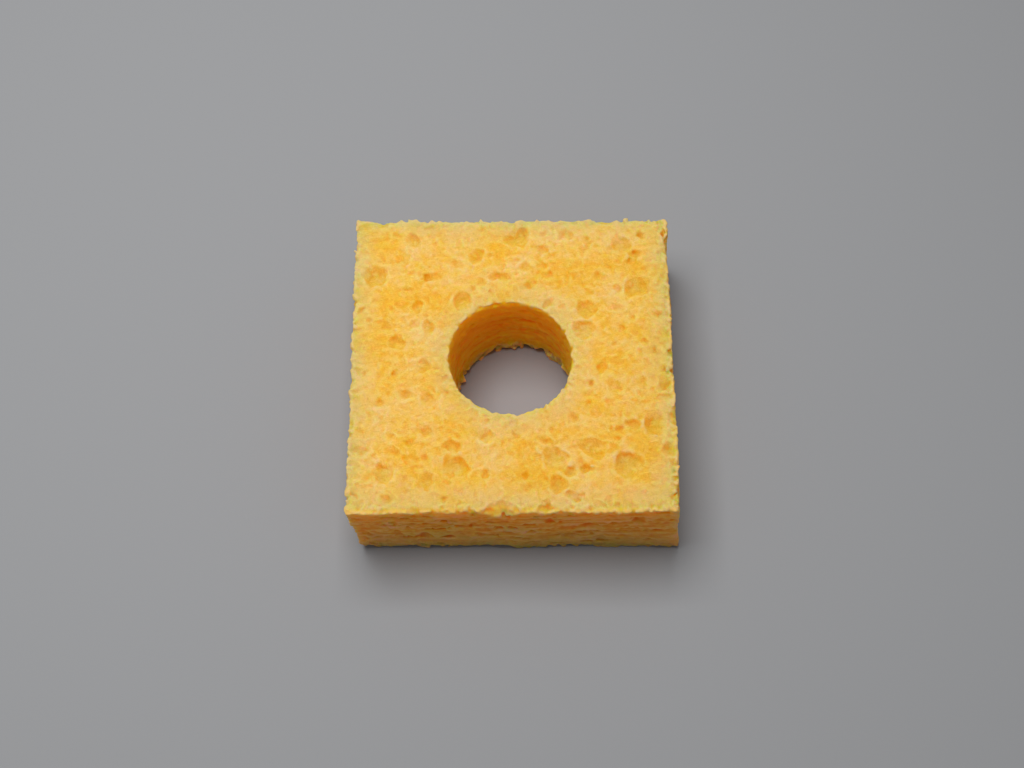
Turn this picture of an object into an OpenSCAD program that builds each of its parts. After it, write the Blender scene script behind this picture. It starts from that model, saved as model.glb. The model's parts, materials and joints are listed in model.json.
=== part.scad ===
// Tip-cleaning sponge for a soldering iron's stand.
// One square block of open-cell cellulose foam with a round hole cut through its middle.
// The iron's tip is wiped on the upper face, on the rim of the hole and on its wall.
// The block lies on its underside: the origin is the centre of that face, +Z is up,
// and the hole runs along Z. Every length is in millimetres.

/* [Block] */
// Length of each side of the square block
side = 66; // [50:1:90]
// Height of the block, from its underside to its upper face
thickness = 23.5; // [12:0.5:30]

/* [Hole] */
// Diameter of the round hole through the block
hole_d = 25.4; // [15:0.1:32]

/* [Open cells] */
// Size of the large open cells in the upper face, as a share of the sizes in their list
cell_scale = 1; // [0.5:0.05:1.2]
// Depth of a cell, as a share of its radius at the surface
cell_depth = 0.5; // [0.2:0.05:0.8]
// Distance between neighbouring cells in the underside and the four walls
cell_pitch = 8.5; // [6:0.5:14]
// Smallest radius of those cells
cell_r_min = 0.9; // [0.5:0.1:1.2]
// Largest radius of those cells
cell_r_max = 2; // [1.2:0.1:2.4]
// Seed of their scatter
cell_seed = 11; // [1:1:99]

/* [Hidden] */

$fn = 96;
// Facets round a cell, which is small and rough
cell_fn = 48;
// The hole's cutter runs this far past both faces
overrun = 1;
// Foam kept between a cell and the hole's wall or a wall's own edge
cell_margin = 1.2;
// A cell moves up to this share of the pitch away from its place in the grid
cell_jitter = 0.3;

// Large cells of the upper face: [x, y, radius at the surface], with +Y to the back
TOP_CELLS = [
    [-28.5, 20, 2.8], [-21, 28, 1.8], [-7.5, 24, 2], [-11.5, 22, 1.3], [-6, 17.5, 1.2],
    [-10, 13, 2.5], [-17, 7.5, 1.9], [-23.5, 4, 2], [-19, 12, 1.5], [1, 29, 2.8],
    [6.5, 26, 1.5], [12, 29, 1.7], [15.5, 25.5, 1.2], [23.5, 27, 2.3], [26.5, 17, 2.8],
    [22.5, 16.5, 1.2], [16, 11.5, 2.2], [15.5, 6.5, 2.4], [29, 2, 1.2],
    [-26.5, -9.5, 1.2], [-18, -1, 1.6], [-23.5, -3, 1.2], [-17, -9.5, 1.6], [-21.5, -8.5, 1.8],
    [-11.5, -19.5, 1.7], [-5, -17.5, 1.8], [-11, -23.5, 2.8], [-17, -26.5, 1.6],
    [-21.5, -28, 1.3], [-26, -25, 2.5], [19, -2.5, 1.2], [21.5, -6.5, 1.6],
    [20.5, -10, 1.2], [13, -13.5, 1.4], [16.5, -20, 2.5], [23.5, -23.5, 3.4],
    [9, -22, 2.7], [9, -27.5, 2.2], [29, -14.5, 2.4]
];

// Cells that the upper face's outer edges cut through
EDGE_CELLS = [
    [-2.5, -side / 2 - 2.5, 4.9], [20, side / 2 + 2.5, 3.6], [-27.5, side / 2, 1.8],
    [side / 2 + 0.5, -12.5, 2.4], [side / 2 - 1, -20, 1.8]
];

// Radius of the sphere whose cap is r wide and d deep
function cap_radius(r, d) = (r * r + d * d) / (2 * d);

// Places of a scattered grid on a face of w by h, as [x, y, radius], centred on the face
function scatter(w, h, seed) =
    let (
        nx = max(1, floor(w / cell_pitch)),
        ny = max(1, floor(h / cell_pitch)),
        n = nx * ny,
        dx = rands(-cell_jitter, cell_jitter, n, seed),
        dy = rands(-cell_jitter, cell_jitter, n, seed + 1),
        r = rands(cell_r_min, cell_r_max, n, seed + 2)
    )
    [for (i = [0 : nx - 1], j = [0 : ny - 1])
        let (k = i * ny + j)
        [
            ((i + 0.5) / nx - 0.5 + dx[k] / nx) * w,
            ((j + 0.5) / ny - 0.5 + dy[k] / ny) * h,
            r[k]
        ]];

// A shallow round cell in the plane z = 0, open upwards
module cell(c) {
    d = c[2] * cell_depth;
    big_r = cap_radius(c[2], d);
    translate([c[0], c[1], big_r - d]) sphere(r = big_r, $fn = cell_fn);
}

module top_cells() {
    translate([0, 0, thickness])
        for (c = concat(TOP_CELLS, EDGE_CELLS)) cell([c[0], c[1], c[2] * cell_scale]);
}

// The underside's cells keep clear of the hole
module underside_cells() {
    field = side - 2 * (cell_r_max + cell_margin);
    clear_r = hole_d / 2 + cell_margin;
    mirror([0, 0, 1])
        for (c = scatter(field, field, cell_seed))
            if (norm([c[0], c[1]]) > clear_r + c[2]) cell(c);
}

// The cells of one wall, in the plane of the wall that faces -Y
module wall_cells(seed) {
    margin = 2 * (cell_r_max + cell_margin);
    translate([0, -side / 2, thickness / 2]) rotate([90, 0, 0])
        for (c = scatter(side - margin, thickness - margin, seed)) cell(c);
}

module sponge() {
    color("#eeb850")
        difference() {
            translate([-side / 2, -side / 2, 0]) cube([side, side, thickness]);
            translate([0, 0, -overrun]) cylinder(d = hole_d, h = thickness + 2 * overrun);
            top_cells();
            underside_cells();
            for (w = [0 : 3]) rotate([0, 0, 90 * w]) wall_cells(cell_seed + 10 * (w + 1));
        }
}

sponge();
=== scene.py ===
import json
import math

import bpy
import numpy as np
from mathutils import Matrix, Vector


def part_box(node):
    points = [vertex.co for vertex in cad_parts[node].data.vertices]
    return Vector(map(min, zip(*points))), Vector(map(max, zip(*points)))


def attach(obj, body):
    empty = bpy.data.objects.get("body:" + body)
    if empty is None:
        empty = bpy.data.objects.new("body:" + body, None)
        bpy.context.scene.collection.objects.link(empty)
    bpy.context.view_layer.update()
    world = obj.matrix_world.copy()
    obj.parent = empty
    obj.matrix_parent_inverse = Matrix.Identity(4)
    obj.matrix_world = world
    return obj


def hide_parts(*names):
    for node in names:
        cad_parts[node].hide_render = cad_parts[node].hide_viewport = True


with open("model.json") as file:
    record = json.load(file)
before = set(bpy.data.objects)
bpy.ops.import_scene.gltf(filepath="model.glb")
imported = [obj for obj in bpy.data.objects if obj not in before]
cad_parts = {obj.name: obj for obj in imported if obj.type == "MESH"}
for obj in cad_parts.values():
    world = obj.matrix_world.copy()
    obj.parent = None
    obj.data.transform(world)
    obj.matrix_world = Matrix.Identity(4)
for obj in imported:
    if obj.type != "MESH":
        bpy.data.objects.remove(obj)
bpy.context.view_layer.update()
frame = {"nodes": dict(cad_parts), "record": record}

import openvdb
from mathutils import Vector

# The look of a tip-cleaning sponge. The foam is worked out in millimetres on a regular grid, as a
# distance field that starts from the CAD solid, and is then meshed and put back in metres.
MM = 0.001
NODE = "sponge"
SEED = 2711

VOXEL = 0.2      # grid step, mm
PAD = 1.5                               # empty space kept round the block, mm
SKIN = 2.5                              # depth to which the distance is known, mm

LOW, HIGH = (np.array(corner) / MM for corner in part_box(NODE))
SIDE_X, SIDE_Y, HEIGHT = HIGH - LOW
MOUNTS = {m["name"]: m for m in frame["record"]["mounts"]}
HOLE_R = MOUNTS["post_hole"]["dims"]["r_mm"]
HOLE_X, HOLE_Y, _ = (c / MM for c in MOUNTS["post_hole"]["pos_m"])


# ---------------------------------------------------------------- the grid

class Grid:
    """A block of voxels round the CAD node, with the places of its voxels along each axis."""

    def __init__(self):
        self.first = np.floor((LOW - PAD) / VOXEL).astype(int)
        last = np.ceil((HIGH + PAD) / VOXEL).astype(int)
        self.shape = tuple(int(n) for n in last - self.first + 1)
        axes = [(f + np.arange(n)) * VOXEL for f, n in zip(self.first, self.shape)]
        self.x = axes[0][:, None, None].astype(np.float32)
        self.y = axes[1][None, :, None].astype(np.float32)
        self.z = axes[2][None, None, :].astype(np.float32)

    def at(self, point):
        """A place in mm as a fractional index."""
        return np.asarray(point, float) / VOXEL - self.first

    def corner(self):
        """The first voxel's index in the form that openvdb takes."""
        return tuple(int(i) for i in self.first)


def smoothstep(low, high, value):
    t = np.clip((value - low) / (high - low), 0, 1)
    return t * t * (3 - 2 * t)


def lattice_noise(rng, grid, wave):
    """Smooth noise of unit variance: random numbers a wavelength apart, joined by cubic splines.
    wave is the wavelength along each axis, in mm."""
    steps = [max(w / VOXEL, 1.0) for w in wave]
    value = rng.standard_normal([int(n / s) + 5 for n, s in zip(grid.shape, steps)])
    value = value.astype(np.float32)
    for axis, (n, step) in enumerate(zip(grid.shape, steps)):
        t = np.arange(n) / step
        i = t.astype(int)
        f = t - i
        weights = (
            (1 - f) ** 3 / 6,
            (3 * f**3 - 6 * f**2 + 4) / 6,
            (-3 * f**3 + 3 * f**2 + 3 * f + 1) / 6,
            f**3 / 6,
        )
        line = [1, 1, 1]
        line[axis] = n
        value = sum(
            np.take(value, i + k, axis=axis) * w.reshape(line).astype(np.float32)
            for k, w in enumerate(weights)
        )
    return value / value.std()


def blurred(value, radius):
    """A box blur along each axis, twice, which is close to a round one."""
    reach = max(int(round(radius / VOXEL)), 1)
    width = 2 * reach + 1
    for _ in range(2):
        for axis in range(3):
            pad = [(0, 0)] * 3
            pad[axis] = (reach + 1, reach)
            total = np.cumsum(np.pad(value, pad, mode="edge"), axis=axis, dtype=np.float32)
            n = value.shape[axis]
            ahead = np.take(total, np.arange(width, width + n), axis=axis)
            behind = np.take(total, np.arange(n), axis=axis)
            value = (ahead - behind) / width
    return value


def sampled(grid, value, points):
    """value at each point, by linear steps between voxels."""
    at = np.clip(points / VOXEL - grid.first, 0, np.array(grid.shape) - 1.001)
    i = at.astype(int)
    f = at - i
    total = 0
    for dx in (0, 1):
        for dy in (0, 1):
            for dz in (0, 1):
                weight = (
                    (f[:, 0] if dx else 1 - f[:, 0])
                    * (f[:, 1] if dy else 1 - f[:, 1])
                    * (f[:, 2] if dz else 1 - f[:, 2])
                )
                total = total + weight * value[i[:, 0] + dx, i[:, 1] + dy, i[:, 2] + dz]
    return total


# ---------------------------------------------------------------- the block that the CAD gives

def from_hole(x, y):
    """Distance into the foam from the hole's wall."""
    return np.hypot(x - HOLE_X, y - HOLE_Y) - HOLE_R


def from_walls(x, y):
    """Distance into the foam from the nearest of the four outer walls and the hole's wall."""
    from_side = np.minimum(
        np.minimum(x - LOW[0], HIGH[0] - x), np.minimum(y - LOW[1], HIGH[1] - y)
    )
    return np.minimum(from_side, from_hole(x, y))


def from_faces(z):
    """Distance into the foam from the nearer of the upper face and the underside."""
    return np.minimum(z - LOW[2], HIGH[2] - z)


WALL_BLEND = 0.6                        # half the width in which a wall turns into a face, mm


def wall_share(grid):
    """1 near the block's cut walls and in the hole, 0 near the middle of the two faces."""
    nearer = from_faces(grid.z) - from_walls(grid.x, grid.y)
    return smoothstep(-WALL_BLEND, WALL_BLEND, nearer)


OFF_CENTRE = np.array((0.5, -0.8))      # how far the outline lies from the hole's centre, mm
STEP_OUT = 0.25                         # how far the left wall's front part stands out, mm
STEP_Y = -9.0                           # where that part begins
STEP_LENGTH = 1.5                       # length of the step between the wall's two parts, mm
PUSH = 0.3                              # how far a CAD cell's rim is pushed out of true, mm
PUSH_WAVE = (2.2, 2.2, 2.2)
PUSH_FROM, PUSH_FULL = 0.1, 1.6         # depths inside a wall at which the push begins and is full


def off_centre(points):
    """How far each point is moved so that the outline lies where the photograph shows it."""
    far_out = np.abs(points[:, :2]).max(1)
    return OFF_CENTRE * smoothstep(HOLE_R, SIDE_X / 2, far_out)[:, None]


def cad_points(mesh, grid, rng):
    """The CAD mesh's points in mm, with the block's outline put where the photograph shows it and
    the round cells pushed out of true, as real ones are. The walls are not pushed."""
    points = np.empty(len(mesh.vertices) * 3, np.float32)
    mesh.vertices.foreach_get("co", points)
    points = (points / MM).reshape(-1, 3)
    free = smoothstep(PUSH_FROM, PUSH_FULL, from_walls(points[:, 0], points[:, 1]))
    points[:, :2] += off_centre(points)
    step = smoothstep(STEP_Y, STEP_Y - STEP_LENGTH, points[:, 1])
    points[:, 0] -= STEP_OUT * (step * smoothstep(-HOLE_R, LOW[0], points[:, 0]))
    for axis in (0, 1):
        push = sampled(grid, lattice_noise(rng, grid, PUSH_WAVE), points)
        points[:, axis] += free * PUSH * push
    return points


def cad_distance(grid, rng):
    """Signed distance to the CAD solid in mm, negative inside, known to SKIN on each side."""
    mesh = frame["nodes"][NODE].data
    points = cad_points(mesh, grid, rng)
    mesh.calc_loop_triangles()
    corners = np.empty(len(mesh.loop_triangles) * 3, np.int32)
    mesh.loop_triangles.foreach_get("vertices", corners)
    level = openvdb.FloatGrid.createLevelSetFromPolygons(
        points.astype(np.float32),
        triangles=corners.reshape(-1, 3).astype(np.uint32),
        transform=openvdb.createLinearTransform(VOXEL),
        halfWidth=SKIN / VOXEL,
    )
    field = np.empty(grid.shape, np.float32)
    level.copyToArray(field, ijk=grid.corner())
    return field


# ---------------------------------------------------------------- the foam's smaller cells

RIM_SHARE = 0.6               # width over which a cell's rim is rounded, as a share of the cell
CELL_WOBBLE = 0.25            # how far a cell is from round, as a share of its size


def open_cell(grid, field, wobble, centre, radii, turn):
    """Hollows one rough ellipsoid out of the field, with a soft rim."""
    rim = RIM_SHARE * min(radii)
    reach = max(radii) + 2 * rim
    low = np.maximum(np.floor(grid.at(centre - reach) - 1), 0).astype(int)
    high = np.minimum(np.ceil(grid.at(centre + reach) + 2), grid.shape).astype(int)
    if (high <= low).any():
        return
    part = tuple(slice(a, b) for a, b in zip(low, high))
    dx = grid.x[part[0]] - centre[0]
    dy = grid.y[:, part[1]] - centre[1]
    dz = grid.z[:, :, part[2]] - centre[2]
    along = dx * math.cos(turn) + dy * math.sin(turn)
    across = dy * math.cos(turn) - dx * math.sin(turn)
    size = np.sqrt((along / radii[0]) ** 2 + (across / radii[1]) ** 2 + (dz / radii[2]) ** 2)
    cell = (1 - size + CELL_WOBBLE * wobble[part]) * min(radii)
    # The larger of field and cell, rounded where the two are less than a rim's width apart.
    gap = np.maximum(rim - np.abs(field[part] - cell), 0) / rim
    field[part] = np.maximum(field[part], cell) + gap * gap * rim / 4


def on_faces(u, v, w):
    """Places on the upper face and the underside, and the way out of the foam there."""
    upper = w < 0.5
    zero = np.zeros(len(u))
    at = np.stack([u * SIDE_X, v * SIDE_Y, upper * HEIGHT], 1) + LOW
    return at, np.stack([zero, zero, np.where(upper, 1, -1)], 1)


def on_outer_walls(u, v, w):
    """The same on the four outer walls."""
    faces_y = w < 0.5
    far = np.where(faces_y, w > 0.25, w > 0.75)
    along_x = np.where(faces_y, u, far)
    along_y = np.where(faces_y, far, u)
    at = np.stack([along_x * SIDE_X, along_y * SIDE_Y, v * HEIGHT], 1) + LOW
    sign = np.where(far, 1, -1)
    return at, np.stack([np.where(faces_y, 0, sign), np.where(faces_y, sign, 0), 0 * u], 1)


def on_hole_wall(u, v, _):
    """The same on the hole's wall."""
    angle = 2 * math.pi * u
    zero = np.zeros(len(u))
    ring = np.stack([np.cos(angle), np.sin(angle), zero], 1)
    at = HOLE_R * ring + (HOLE_X, HOLE_Y, LOW[2]) + np.stack([zero, zero, v * HEIGHT], 1)
    return at, -ring


def surface_points(rng, count):
    """Random places all over the block, by area, with the way out of the foam at each."""
    kinds = (
        (2 * SIDE_X * SIDE_Y, on_faces),
        (2 * (SIDE_X + SIDE_Y) * HEIGHT, on_outer_walls),
        (2 * math.pi * HOLE_R * HEIGHT, on_hole_wall),
    )
    total = sum(area for area, _ in kinds)
    found = [place(*rng.random((3, int(count * area / total)))) for area, place in kinds]
    places, outward = zip(*found)
    return np.concatenate(places), np.concatenate(outward)


def spread_out(places, spacing):
    """The places left when each one too close to an earlier one is dropped."""
    kept = []
    for i, place in enumerate(places):
        if not kept or (((places[kept] - place) ** 2).sum(1) > spacing**2).all():
            kept.append(i)
    return kept


# Two scatters of cells: how many places are tried, how far apart the cells are, their smallest and
# largest radius in mm, how far out of the foam their centres lie, as shares of their size, and
# whether the upper face gets any. The further out, the shallower the dimple that is left.
WIDE_SCATTER = {
    "tries": 1800, "spacing": 3.4, "sizes": (0.8, 1.6), "lift": (0.15, 0.5), "on_top": False,
}
FINE_SCATTER = {
    "tries": 6000, "spacing": 1.6, "sizes": (0.35, 0.7), "lift": (0.4, 0.8), "on_top": True,
}
SMALL_BIAS = 1.6              # above 1, small cells are commoner than large ones
WALL_LIFT = 0.2               # how much further out the walls' cells lie, as a share of their size
WALL_SQUASH = 0.5             # how much of its height a cell in a wall has lost
STRETCH = (0.8, 1.6)          # how much longer than its size a cell is, least and most
TALLNESS = (0.6, 0.9)         # how tall a cell is, as a share of its size, least and most


def scatter_cells(grid, field, wobble, rng, scatter):
    """Opens cells at random places of the surface, as one of the two scatters says."""
    places, outward = surface_points(rng, scatter["tries"])
    order = rng.permutation(len(places))
    if not scatter["on_top"]:
        order = order[outward[order, 2] < 0.5]
    kept = order[spread_out(places[order], scatter["spacing"])]
    places, outward = places[kept], outward[kept]
    upright = 1 - np.abs(outward[:, 2])
    smallest, largest = scatter["sizes"]
    sizes = smallest * (largest / smallest) ** (rng.random(len(places)) ** SMALL_BIAS)
    away = (rng.uniform(*scatter["lift"], len(places)) + WALL_LIFT * upright) * sizes
    for place, way, size, out, wall in zip(places, outward, sizes, away, upright):
        stretch = rng.uniform(*STRETCH)
        tall = rng.uniform(*TALLNESS) * (1 - WALL_SQUASH * wall)
        radii = (size * stretch, size / math.sqrt(stretch), size * tall)
        open_cell(grid, field, wobble, place + way * out, radii, rng.uniform(0, math.pi))


# The upper face's smaller cells that the photograph shows, read to half a millimetre: x, y
# and radius in mm. Its large cells are the CAD's.
SEEN_CELLS = [
    (-26, 8, 1.0), (-22.5, 23, 1.0), (-22, 16, 1.0), (-17, 19, 1.3), (-16.5, 31, 1.0),
    (-25.5, 25, 0.7), (-27, 23.5, 0.7), (-20.5, 20, 0.7), (-9.5, 28.5, 0.5), (-3.5, 18.5, 0.9),
    (-4, 15.5, 0.7), (-20, 8, 0.8), (-31.5, 11.5, 0.9), (-29.5, 6.5, 0.7), (-1, 19, 1.2),
    (1, 23, 0.6), (3, 22, 0.8), (7, 22, 0.9), (8, 12.5, 1.2), (10.5, 12, 0.5), (6.5, 17.5, 1.1),
    (8, 19.5, 1.2), (4, 16.5, 0.9), (15, 19, 1.0), (16.5, 17.5, 0.8), (16.5, 27.5, 1.2),
    (17, 15, 0.8), (20, 13.5, 0.7), (20.5, 21, 0.7), (18.5, 19.5, 0.6), (26, 25, 1.2),
    (25.5, 23, 1.2), (22, 12, 0.9), (22.5, 7, 0.8), (30.5, 10.5, 0.8), (30.5, 27, 0.5),
    (26.5, 2, 0.8), (22, 3.5, 0.8), (27.5, 4.5, 0.7), (7, 29.5, 0.6), (22, 25.5, 0.6),
    (26.5, -5, 1.3), (26.5, -8, 0.6), (31.5, -6, 1.1), (16.5, -5.5, 0.7), (24, -7, 0.7),
    (17.5, -12, 1.0), (25, -14.5, 1.2), (22.5, -16, 1.2), (21, -17.5, 1.0), (1.5, -17, 1.1),
    (7.5, -18.5, 1.0), (5, -22, 1.0), (12, -24.5, 1.3), (14.5, -23.5, 1.1), (3, -25.5, 0.9),
    (3.5, -28, 1.0), (12.5, -30, 1.5), (14, -26, 0.6), (21, -31.5, 0.5), (23.5, -31.5, 0.5),
    (6, -32, 1.1), (-26.5, -0.5, 0.6), (-14, -5, 0.9), (-13.5, -7.5, 1.0), (-18, -16, 0.9),
    (-16.5, -16.5, 1.1), (-20, -18.5, 0.8), (-14.5, -20.5, 0.9), (-8.5, -19, 0.7),
    (-5, -19.5, 0.4), (-5.5, -25, 0.9), (-7, -26, 0.6), (-25, -30.5, 1.1), (-13.5, -30, 0.5),
    (-17.5, -22, 1.1), (-22, -26.5, 0.7), (-31.5, -2, 1.0), (-30.5, -15.5, 0.6),
    (-31, -19.5, 1.1), (-29, -11.5, 0.9), (-23, -20.5, 0.9),
]
SEEN_STRETCH = (0.9, 1.4)     # how much longer than wide a seen cell is, least and most
SEEN_LIFT = (0.1, 0.4)        # how far above the face its centre lies, as a share of its radius
SEEN_TALLNESS = 0.8
SEEN_TURN = 0.6               # how far its long way may turn from the x axis, in radians


def open_seen_cells(grid, field, wobble, rng):
    places = np.array(SEEN_CELLS)
    places[:, :2] += off_centre(places)
    for x, y, size in places:
        stretch = rng.uniform(*SEEN_STRETCH)
        radii = (size * stretch, size / stretch, SEEN_TALLNESS * size)
        centre = np.array((x, y, HIGH[2] + rng.uniform(*SEEN_LIFT) * size))
        open_cell(grid, field, wobble, centre, radii, rng.uniform(-SEEN_TURN, SEEN_TURN))


# ---------------------------------------------------------------- the whole foam

# Each layer of noise: how deep it is in mm, and its wavelengths along x, y and z.
SWELL, SWELL_WAVE = 0.08, (7, 7, 7)                     # all over
WALL_SWELL, WALL_SWELL_WAVE = 0.10, (6, 6, 14)          # the outer walls
STREAK, STREAK_WAVE = 0.06, (5, 5, 1.1)                 # the cut walls and the hole
THIN_STREAK, THIN_STREAK_WAVE = 0.05, (3, 3, 0.6)
TUFT, TUFT_WAVE = 0.05, (0.8, 0.8, 0.7)                 # all over
FIBRE, FIBRE_WAVE = 0.08, (0.5, 0.5, 0.45)
TORN, TORN_WAVE = 0.3, (0.9, 0.9, 0.8)                  # the foot of every wall

WOBBLE_WAVE = (1.0, 1.0, 1.0)
CELL_BLUR = 0.25              # rounding of the cells before the fibres are laid over them, mm
OUTER_SPAN = (2, 6)           # distances from the hole between which the outer walls' share grows
FOOT_LOSS = 0.25              # how much foam is gone at the walls' foot on average, mm
FOOT_RISE, FOOT_DEPTH = (2.2, 0.2), (2.0, 0.0)      # where that starts and is full: how far up the
BORE_RISE, BORE_DEPTH = (4.0, 2.0), (1.2, 0.6)      # foot and into the wall; the same in the hole
WALL_CALM = 0.2               # how much less fibrous the cut walls are than the faces
FRAY_SPAN = (1.6, 0.4)        # distances from an upper edge at which fraying starts and is full
FRAY = 0.03                   # how much deeper the fibres are along every upper edge, mm
OUTER_FRAY = 0.04             # how much deeper again along the outer ones, mm
STAND_OUT = 0.02              # how far the whole surface is moved outwards, mm
# Height of the underside, mm. At 0 it would lie on a layer of voxels, and the mesh would pinch.
UNDER_GAP = 0.02


def ragged_foot(grid, rng):
    """How much foam is torn away where the walls meet the surface the block lies on."""
    near = smoothstep(*FOOT_RISE, grid.z - LOW[2])
    near = near * smoothstep(*FOOT_DEPTH, from_walls(grid.x, grid.y))
    return near * np.maximum(FOOT_LOSS + TORN * lattice_noise(rng, grid, TORN_WAVE), 0)


def ragged_bore(grid, rng):
    """How the lowest part of the hole's wall is torn, inwards and outwards."""
    near = smoothstep(*BORE_DEPTH, from_hole(grid.x, grid.y))
    near = near * smoothstep(*BORE_RISE, grid.z - LOW[2])
    return near * TORN * lattice_noise(rng, grid, TORN_WAVE)


def add_felt(grid, field, rng, walls, outer):
    """Lays felted fibres over the foam, roughest along its upper edges."""
    field += TUFT * (1 - WALL_CALM * walls) * lattice_noise(rng, grid, TUFT_WAVE)
    from_edge = np.hypot(from_walls(grid.x, grid.y), HIGH[2] - grid.z)
    frayed = smoothstep(*FRAY_SPAN, from_edge) * (FRAY + OUTER_FRAY * outer)
    depth = FIBRE - FIBRE * WALL_CALM * walls + frayed
    field += depth * lattice_noise(rng, grid, FIBRE_WAVE)


def foam_field(grid):
    """Signed distance to the foam's surface in mm, negative inside."""
    rng = np.random.default_rng(SEED)
    field = cad_distance(grid, rng)
    walls = wall_share(grid)
    outer = smoothstep(*OUTER_SPAN, from_hole(grid.x, grid.y))
    field += SWELL * lattice_noise(rng, grid, SWELL_WAVE)
    field += walls * outer * WALL_SWELL * lattice_noise(rng, grid, WALL_SWELL_WAVE)
    wobble = lattice_noise(rng, grid, WOBBLE_WAVE)
    scatter_cells(grid, field, wobble, rng, WIDE_SCATTER)
    open_seen_cells(grid, field, wobble, rng)
    scatter_cells(grid, field, wobble, rng, FINE_SCATTER)
    # The layers that the foam's cells were squashed into show on the cut walls as level streaks.
    field += walls * STREAK * lattice_noise(rng, grid, STREAK_WAVE)
    field += walls * THIN_STREAK * lattice_noise(rng, grid, THIN_STREAK_WAVE)
    field = blurred(field, CELL_BLUR)
    field += ragged_foot(grid, rng)
    field += ragged_bore(grid, rng)
    add_felt(grid, field, rng, walls, outer)
    # Nothing reaches below the surface that the block lies on.
    return np.maximum(field - STAND_OUT, LOW[2] + UNDER_GAP - grid.z)


# ---------------------------------------------------------------- from field to mesh

def largest_piece(count, quads):
    """The vertices of the largest connected piece, by spreading the lowest label along edges."""
    label = np.arange(count)
    edges = np.concatenate([quads[:, [0, 1]], quads[:, [1, 2]], quads[:, [2, 3]], quads[:, [3, 0]]])
    while True:
        low = np.minimum(label[edges[:, 0]], label[edges[:, 1]])
        new = label.copy()
        np.minimum.at(new, edges[:, 0], low)
        np.minimum.at(new, edges[:, 1], low)
        new = new[new]
        if (new == label).all():
            break
        label = new
    winner = np.bincount(label).argmax()
    return label == winner


def foam_surface(grid, field):
    """The points in mm and the quads of the field's zero surface, without loose crumbs."""
    level = openvdb.FloatGrid(float(SKIN))
    level.transform = openvdb.createLinearTransform(VOXEL)
    level.copyFromArray(field, ijk=grid.corner())
    points, quads = level.convertToQuads(0.0)
    quads = quads.astype(np.int64)
    keep = largest_piece(len(points), quads)
    quads = quads[keep[quads[:, 0]]]
    renumber = np.cumsum(keep) - 1
    return points[keep], renumber[quads]


LEAN = Vector((1.6, 0.6))     # how far the underside lies off the upper face, mm


def leaned(points):
    """Soft foam leans a little: each layer shifts in step with its height."""
    share = 0.5 - (points[:, 2] - LOW[2]) / HEIGHT
    out = points.copy()
    out[:, 0] += share * LEAN.x
    out[:, 1] += share * LEAN.y
    return out


CHART_SPAN = 150.0            # mm of foam across the whole square that the charts share
CHART_GAP = 1.0               # mm left between charts
FACE_SPARE, WALL_SPARE = 3.0, 0.6       # room for what reaches past a face and a wall, mm


def chart_places():
    """Where each chart's own origin lies in the square, in mm: the two faces, the four walls in
    two rows, then the hole's wall unrolled."""
    wide = SIDE_X + FACE_SPARE + CHART_GAP
    tall = HEIGHT + WALL_SPARE + CHART_GAP
    rows = [wide, wide + tall, wide + 2 * tall]
    middle = wide / 2
    return np.array([
        (middle, middle), (middle + wide, middle),
        (middle, rows[0]), (middle + wide, rows[0]), (middle, rows[1]), (middle + wide, rows[1]),
        (CHART_SPAN / 2, rows[2]),
    ])


def charts(points, quads):
    """Each quad laid flat on the face or wall of the block that it is nearest to, so that every
    part of the surface has a place of its own in a texture."""
    corners = points[quads]
    x, y, z = corners.mean(1).T
    nearest = np.stack([
        HIGH[2] - z, z - LOW[2], x - LOW[0], HIGH[0] - x, y - LOW[1], HIGH[1] - y, from_hole(x, y),
    ]).argmin(0)
    cx, cy, cz = np.moveaxis(corners, 2, 0)
    middle_angle = np.arctan2(y - HOLE_Y, x - HOLE_X)[:, None]
    angle = np.arctan2(cy - HOLE_Y, cx - HOLE_X) - middle_angle
    angle = (angle + math.pi) % (2 * math.pi) - math.pi + middle_angle
    across = np.stack([cx, -cx, -cy, cy, cx, -cx, -angle * HOLE_R])
    up = np.stack([cy, cy, cz, cz, cz, cz, cz])
    row = np.arange(len(quads))
    place = chart_places()[nearest]
    u = across[nearest, row] + place[:, :1]
    v = up[nearest, row] + place[:, 1:]
    return np.stack([u, v], 2) / CHART_SPAN


WIDE_LOOK, FINE_LOOK = 0.9, 0.3         # how far round a point its hollowness is judged, mm
# Distances in mm between which the hole's colours of painted bounced light, and the faces' border
# of painted light, grow to full
BORE_SPAN = (1.6, 0.8)                  # from the hole's wall
MARGIN_SPAN = (7.0, 2.0)                # from any wall
SUNK_MOST = 2                           # depth below a face past which no more is told apart, mm


def steepness(grid, solid, points):
    """0 where the foam's surface lies level, and 1 where it stands upright."""
    slopes = [sampled(grid, part, points) for part in np.gradient(blurred(solid, FINE_LOOK))]
    length = np.sqrt(sum(slope**2 for slope in slopes))
    return 1 - np.abs(slopes[2]) / np.maximum(length, 1e-6)


def add_attributes(mesh, grid, field, points):
    """What the material reads at each point. The more foam there is close round a point, the more
    hollow it is there. Lengths are in mm."""
    solid = (field < 0).astype(np.float32)
    x, y, z = points.T
    values = {
        # hollow_wide, hollow_fine and steep set the material's painted shade in the cells
        "hollow_wide": sampled(grid, blurred(solid, WIDE_LOOK), points),
        "hollow_fine": sampled(grid, blurred(solid, FINE_LOOK), points),
        "steep": steepness(grid, solid, points),
        "wall": sampled(grid, wall_share(grid), points),
        "bore": smoothstep(*BORE_SPAN, from_hole(x, y)),
        "height": z - LOW[2],
        # share of the faces' paler border of painted light
        "margin": smoothstep(*MARGIN_SPAN, from_walls(x, y)),
        "sunk": np.clip(from_faces(z), 0, SUNK_MOST),
    }
    for name, value in values.items():
        layer = mesh.attributes.new(name, "FLOAT", "POINT")
        layer.data.foreach_set("value", value.astype(np.float32))


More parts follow.
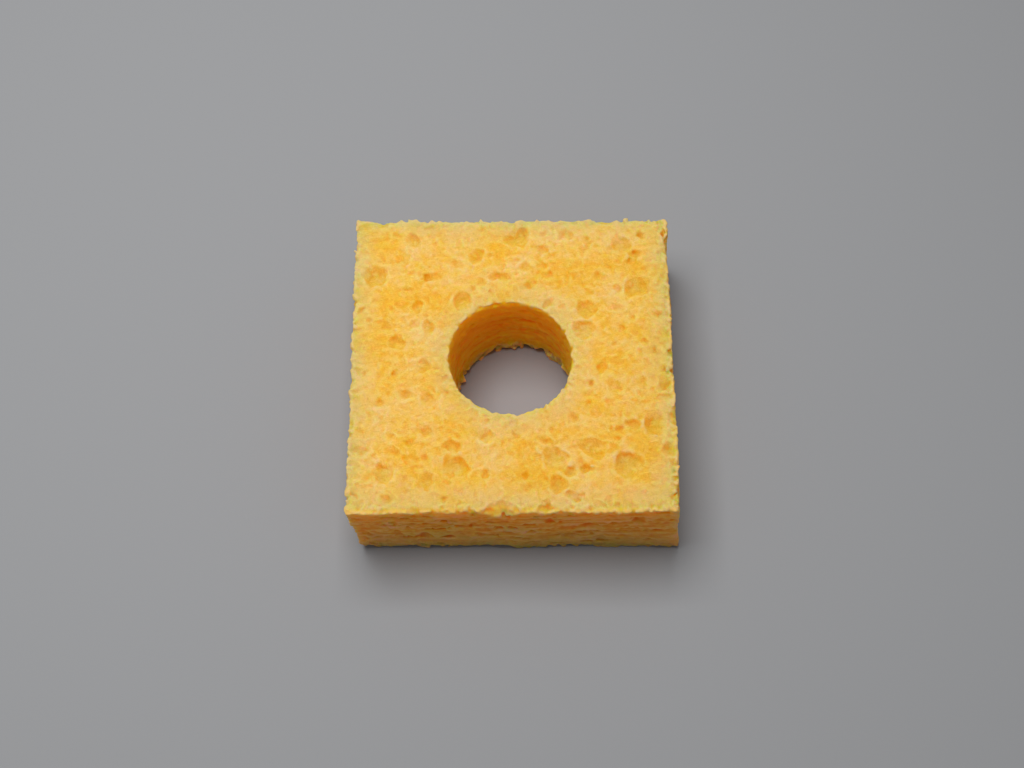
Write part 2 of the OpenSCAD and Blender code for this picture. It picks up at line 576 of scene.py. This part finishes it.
def build_sponge():
    grid = Grid()
    field = foam_field(grid)
    points, quads = foam_surface(grid, field)
    mesh = bpy.data.meshes.new("cellulose_sponge")
    mesh.vertices.add(len(points))
    mesh.vertices.foreach_set("co", (leaned(points) * MM).astype(np.float32).ravel())
    mesh.loops.add(len(quads) * 4)
    mesh.loops.foreach_set("vertex_index", quads.astype(np.int32).ravel())
    mesh.polygons.add(len(quads))
    mesh.polygons.foreach_set("loop_start", np.arange(len(quads), dtype=np.int32) * 4)
    mesh.update(calc_edges=True)
    layout = charts(points, quads).astype(np.float32)
    mesh.uv_layers.new(name="OFBake").data.foreach_set("uv", layout.ravel())
    mesh.validate()
    mesh.shade_smooth()
    add_attributes(mesh, grid, field, points)
    piece = bpy.data.objects.new("cellulose_sponge", mesh)
    bpy.context.scene.collection.objects.link(piece)
    return piece


# ---------------------------------------------------------------- materials

# A Mix node has sockets of one name for each kind of value. These are the colours' numbers.
MIX_FIRST, MIX_SECOND, MIX_RESULT = 6, 7, 2


class Graph:
    """One material's nodes. Each method after the first adds nodes and returns their output."""

    def __init__(self, name):
        self.material = bpy.data.materials.new(name)
        self.material.use_nodes = True
        self.nodes = self.material.node_tree.nodes
        self.links = self.material.node_tree.links
        self.shader = self.nodes["Principled BSDF"]

    def attribute(self, name):
        node = self.nodes.new("ShaderNodeAttribute")
        node.attribute_name = name
        return node.outputs["Fac"]

    def constant(self, color):
        node = self.nodes.new("ShaderNodeRGB")
        node.outputs["Color"].default_value = (*color, 1)
        return node.outputs["Color"]

    def ramp(self, value, stops):
        node = self.nodes.new("ShaderNodeValToRGB")
        elements = node.color_ramp.elements
        while len(elements) < len(stops):
            elements.new(0.5)
        for element, (place, color) in zip(elements, stops):
            element.position = place
            element.color = (*color, 1)
        self.links.new(value, node.inputs["Fac"])
        return node.outputs["Color"]

    def placed_noise(self, mapping, detail, distortion=0.0):
        place = self.nodes.new("ShaderNodeTexCoord")
        node = self.nodes.new("ShaderNodeTexNoise")
        node.inputs["Scale"].default_value = 1.0
        node.inputs["Detail"].default_value = detail
        node.inputs["Distortion"].default_value = distortion
        self.links.new(place.outputs["Object"], mapping.inputs["Vector"])
        self.links.new(mapping.outputs["Vector"], node.inputs["Vector"])
        return node.outputs["Fac"]

    def noise(self, wave, detail=2.0):
        """Noise from 0 to 1 with the given wavelength in mm, one number or one for each axis."""
        waves = wave if isinstance(wave, tuple) else (wave, wave, wave)
        mapping = self.nodes.new("ShaderNodeMapping")
        mapping.inputs["Scale"].default_value = [1 / (w * MM) for w in waves]
        return self.placed_noise(mapping, detail)

    def fibres(self, length, width, turns):
        """Fibres that cross one another, from 0 to 1: stretched noise in several directions."""
        top = 0.0
        for k in range(turns):
            turn = (0.5 * k, 0.8 * k, math.pi * (k + 0.3) / turns)
            mapping = self.nodes.new("ShaderNodeMapping")
            mapping.vector_type = "TEXTURE"
            mapping.inputs["Rotation"].default_value = turn
            mapping.inputs["Scale"].default_value = (length * MM, width * MM, width * MM)
            mapping.inputs["Location"].default_value = (0.1 * k, 0, 0)
            top = self.computed("MAXIMUM", self.placed_noise(mapping, 1.0, distortion=0.6), top)
        return top

    def computed(self, operation, *values):
        """Each value is a number or another node's output."""
        node = self.nodes.new("ShaderNodeMath")
        node.operation = operation
        for socket, value in zip(node.inputs, values):
            if isinstance(value, (int, float)):
                socket.default_value = value
            else:
                self.links.new(value, socket)
        return node.outputs["Value"]

    def weighted(self, parts, offset):
        """offset plus the sum of each value times its weight."""
        total = offset
        for value, weight in parts:
            total = self.computed("MULTIPLY_ADD", value, weight, total)
        return total

    def between(self, value, low, high):
        """value as a share of the way from low to high, kept from 0 to 1."""
        node = self.nodes.new("ShaderNodeMapRange")
        node.inputs["From Min"].default_value = low
        node.inputs["From Max"].default_value = high
        self.links.new(value, node.inputs["Value"])
        return node.outputs["Result"]

    def mixed(self, share, first, second):
        """The colour that lies that share of the way from first to second."""
        node = self.nodes.new("ShaderNodeMix")
        node.data_type = "RGBA"
        self.links.new(share, node.inputs["Factor"])
        self.links.new(first, node.inputs[MIX_FIRST])
        self.links.new(second, node.inputs[MIX_SECOND])
        return node.outputs[MIX_RESULT]

    def scaled(self, color, share):
        node = self.nodes.new("ShaderNodeVectorMath")
        node.operation = "SCALE"
        self.links.new(color, node.inputs["Vector"])
        self.links.new(share, node.inputs["Scale"])
        return node.outputs["Vector"]


FACE_TONES = [                # from raised foam to the bottom of a cell; the deeper orange is painted shade
    (0.15, (0.76, 0.510, 0.190)),
    (0.42, (0.77, 0.480, 0.105)),
    (0.60, (0.77, 0.445, 0.054)),
    (0.90, (0.77, 0.385, 0.010)),
]
MARGIN_LIGHT_TONE = (0.73, 0.475, 0.170)      # painted light: the faces' paler border, where the edges catch more light
EDGE_LIGHT_TONE = (0.74, 0.455, 0.190)        # painted light on the thin upper edge itself
# the cut walls, from raised foam to hollows; the deeper orange in hollows is painted shade
WALL_TONES = [
    (0.12, (0.97, 0.430, 0.180)),
    (0.35, (0.90, 0.460, 0.100)),
    (0.50, (0.90, 0.370, 0.045)),
    (0.75, (0.85, 0.250, 0.018)),
]
HEAD_LIGHT_TONE = (0.98, 0.490, 0.040)        # painted light on the outer walls just under the upper face
FOOT_TONE = (0.66, 0.270, 0.065)        # painted shade on the lowest part of the outer walls, near the floor
# The hole's wall: a deeper, redder orange that is painted light bounced round inside the hole;
# deepest in hollows, which is painted shade.
BORE_LIGHT_TONES = [
    (0.30, (0.99, 0.50, 0.022)),
    (0.55, (0.99, 0.42, 0.010)),
    (0.80, (0.99, 0.30, 0.005)),
]
BORE_RIM_LIGHT_TONE = (0.99, 0.58, 0.012)     # painted light on the hole's wall near the upper face
BORE_FOOT_TONE = (0.98, 0.42, 0.12)     # the torn, paler foam lowest in the hole
FLOOR_TONE = (0.268, 0.271, 0.279)

# Wavelengths of the materials' noises, mm
PATCH_WAVE = 8.0
MOTTLE_WAVE = 1.8
MARGIN_WAVE = 5.0
LAYER_WAVE = (6.0, 6.0, 1.0)
EDGE_LIGHT_WAVE = 1.2
GRAIN_WAVE = 0.35
FELT_LENGTH, FELT_WIDTH, FELT_TURNS = 1.8, 0.3, 4

# Where each tone of the walls starts and where it is full, in mm above the underside
HEAD_SPAN = (HEIGHT - 6, HEIGHT + 2)
FOOT_SPAN = (12.0, 0.0)
BORE_RIM_SPAN = (HEIGHT - 9, HEIGHT)
BORE_FOOT_SPAN = (3.6, 2.2)
EDGE_LIGHT_SPAN = (HEIGHT - 3.5, HEIGHT - 1.5)
RAGGED = 5.0                            # how far up and down those starts wander, mm

THIN_SPAN = (0.43, 0.28)                # wide hollowness at which foam starts to be thin, and is
THIN_LOSS = 0.7                         # share of its scattering that thin foam has lost
BUMP_STRENGTH, BUMP_DEPTH = 0.8, 0.35                       # share, mm
SCATTER_RATIO, SCATTER_REACH = (1.0, 0.2, 0.025), 13.0      # red light goes furthest; mm
FOAM_ROUGHNESS, FLOOR_ROUGHNESS = 0.9, 0.8
SHINE = 0.2                             # specular level of both


def face_color(graph, wide, fine, felt, grain):
    """The upper face and the underside: cream felt, orange in its cells as painted shade, with a
    paler border of painted light and painted fine shade among the fibres.
    """
    patches = graph.noise(PATCH_WAVE)
    mottle = graph.noise(MOTTLE_WAVE)
    steep = graph.attribute("steep")
    # Painted shade: hollow places and steep slopes get a deeper orange; the patches and mottle are
    # the foam's own uneven tone.
    parts = [(wide, 0.7), (fine, 0.6), (steep, 0.5), (patches, 1.1), (mottle, 0.5), (felt, -0.4)]
    face = graph.ramp(graph.weighted(parts, -0.74), FACE_TONES)
    # Painted light: a paler border near the walls, in uneven patches, on raised foam only.
    uneven = graph.between(graph.noise(MARGIN_WAVE), 0.3, 0.7)
    patchy = graph.weighted([(uneven, 0.6)], 0.15)
    raised = graph.between(graph.attribute("sunk"), 0.8, 0.2)
    margin = graph.computed("MULTIPLY", graph.attribute("margin"), patchy)
    margin = graph.computed("MULTIPLY", margin, raised)
    color = graph.mixed(margin, face, graph.constant(MARGIN_LIGHT_TONE))
    # Painted shade: the felt and grain darken the colour in the gaps between the fibres, as their
    # shading would.
    return graph.scaled(color, graph.weighted([(felt, 0.45), (grain, 0.08)], 0.69))


def wall_color(graph, wide, fine):
    """The cut walls and the hole's wall: level streaks, with painted shade in hollows and low on
    the outer walls, painted light near their tops, and a deeper colour inside the hole that is
    painted bounced light.
    """
    streaks = graph.noise(LAYER_WAVE)
    mottle = graph.noise(MOTTLE_WAVE)
    # Painted shade: hollow places get a deeper orange; the streaks and mottle are the walls' own
    # tone.
    parts = [(wide, 1.2), (fine, 0.5), (streaks, 1.2), (mottle, 0.2)]
    tone = graph.weighted(parts, -1.05)
    height = graph.attribute("height")
    ragged = graph.weighted([(height, 1.0), (mottle, RAGGED)], -RAGGED / 2)
    head = graph.between(ragged, *HEAD_SPAN)
    foot = graph.between(ragged, *FOOT_SPAN)
    # Painted light: the outer walls are lighter just under the upper face.
    outside = graph.mixed(head, graph.ramp(tone, WALL_TONES), graph.constant(HEAD_LIGHT_TONE))
    # Painted shade: the outer walls are darker near their foot.
    outside = graph.mixed(foot, outside, graph.constant(FOOT_TONE))
    rim = graph.between(height, *BORE_RIM_SPAN)
    torn = graph.between(ragged, *BORE_FOOT_SPAN)
    # Painted light: the hole's wall gets its deeper orange, brightest near the upper face.
    inside = graph.mixed(rim, graph.ramp(tone, BORE_LIGHT_TONES), graph.constant(BORE_RIM_LIGHT_TONE))
    inside = graph.mixed(torn, inside, graph.constant(BORE_FOOT_TONE))
    return graph.mixed(graph.attribute("bore"), outside, inside)


def edge_light(graph, thin):
    """Painted light on the thin foam: broken patches along the upper edges, where it is thin."""
    upper = graph.between(graph.attribute("height"), *EDGE_LIGHT_SPAN)
    broken = graph.weighted([(graph.noise(EDGE_LIGHT_WAVE), 1.8)], -0.3)
    return graph.computed("MULTIPLY", graph.computed("MULTIPLY", thin, upper), broken)


def cellulose_material():
    graph = Graph("cellulose")
    wide = graph.attribute("hollow_wide")
    fine = graph.attribute("hollow_fine")
    thin = graph.between(wide, *THIN_SPAN)
    felt = graph.fibres(FELT_LENGTH, FELT_WIDTH, FELT_TURNS)
    grain = graph.noise(GRAIN_WAVE, detail=4.0)
    face = face_color(graph, wide, fine, felt, grain)
    color = graph.mixed(graph.attribute("wall"), face, wall_color(graph, wide, fine))
    # Painted light: the thin foam along the upper edges gets a set tone in broken patches.
    color = graph.mixed(edge_light(graph, thin), color, graph.constant(EDGE_LIGHT_TONE))
    bump = graph.nodes.new("ShaderNodeBump")
    bump.inputs["Strength"].default_value = BUMP_STRENGTH
    bump.inputs["Distance"].default_value = BUMP_DEPTH * MM
    graph.links.new(graph.weighted([(grain, 0.4), (felt, 1.0)], 0.0), bump.inputs["Height"])
    shader = graph.shader.inputs
    graph.links.new(color, shader["Base Color"])
    graph.links.new(bump.outputs["Normal"], shader["Normal"])
    shader["Roughness"].default_value = FOAM_ROUGHNESS
    shader["Specular IOR Level"].default_value = SHINE
    # Thin foam at the edges would lose its red light by scattering and look green.
    graph.links.new(graph.weighted([(thin, -THIN_LOSS)], 1.0), shader["Subsurface Weight"])
    shader["Subsurface Radius"].default_value = SCATTER_RATIO
    shader["Subsurface Scale"].default_value = SCATTER_REACH * MM
    return graph.material


def floor_material():
    graph = Graph("floor")
    shader = graph.shader.inputs
    shader["Base Color"].default_value = (*FLOOR_TONE, 1)
    shader["Roughness"].default_value = FLOOR_ROUGHNESS
    shader["Specular IOR Level"].default_value = SHINE
    return graph.material


# ---------------------------------------------------------------- stage, light and camera

FLOOR_HALF = 2.0                        # m
LAMP_HEIGHT = 0.50                      # m
LAMP_LEFT, LAMP_RIGHT = -0.45, 0.10     # edges of the light panel, as shares of its height
LAMP_FRONT, LAMP_BACK = -0.18, 0.47
LAMP_WATTS = 2.72
SKY_STRENGTH = 0.265

LENS, SENSOR = 60, 36                   # mm
ELEVATION, AZIMUTH, ROLL = 66, -0.5, 0.2          # degrees; at 0, 0, 0 it looks along +Y
DISTANCE = 0.375                        # m from the camera to the point it looks at
TARGET = (-0.0003, 0.0042, 0)           # m


def build_floor():
    mesh = bpy.data.meshes.new("floor")
    z = LOW[2] * MM
    around = ((-1, -1), (1, -1), (1, 1), (-1, 1))
    mesh.from_pydata([(x * FLOOR_HALF, y * FLOOR_HALF, z) for x, y in around], [], [(0, 1, 2, 3)])
    floor = bpy.data.objects.new("floor", mesh)
    bpy.context.scene.collection.objects.link(floor)
    floor.data.materials.append(floor_material())


def build_lights():
    panel = bpy.data.lights.new("panel", "AREA")
    panel.shape = "RECTANGLE"
    panel.size = (LAMP_RIGHT - LAMP_LEFT) * LAMP_HEIGHT
    panel.size_y = (LAMP_BACK - LAMP_FRONT) * LAMP_HEIGHT
    panel.energy = LAMP_WATTS
    lamp = bpy.data.objects.new("panel", panel)
    bpy.context.scene.collection.objects.link(lamp)
    across = (LAMP_LEFT + LAMP_RIGHT) / 2
    along = (LAMP_FRONT + LAMP_BACK) / 2
    lamp.location = (across * LAMP_HEIGHT, along * LAMP_HEIGHT, LAMP_HEIGHT)
    world = bpy.data.worlds.new("studio")
    bpy.context.scene.world = world
    world.use_nodes = True
    sky = world.node_tree.nodes["Background"]
    sky.inputs["Color"].default_value = (1, 1, 1, 1)
    sky.inputs["Strength"].default_value = SKY_STRENGTH


def build_camera():
    camera = bpy.data.cameras.new("camera")
    camera.lens = LENS
    camera.sensor_width = SENSOR
    camera.clip_start = 0.01
    item = bpy.data.objects.new("camera", camera)
    bpy.context.scene.collection.objects.link(item)
    elevation, azimuth, roll = (math.radians(a) for a in (ELEVATION, AZIMUTH, ROLL))
    back = Vector((
        math.sin(azimuth) * math.cos(elevation),
        -math.cos(azimuth) * math.cos(elevation),
        math.sin(elevation),
    ))
    item.location = Vector(TARGET) + back * DISTANCE
    item.rotation_euler = back.to_track_quat("Z", "Y").to_euler()
    item.rotation_euler.rotate_axis("Z", roll)
    bpy.context.scene.camera = item
    bpy.context.scene.view_settings.view_transform = "Standard"


sponge = build_sponge()
sponge.data.materials.append(cellulose_material())
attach(sponge, "root")
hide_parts(NODE)
build_floor()
build_lights()
build_camera()
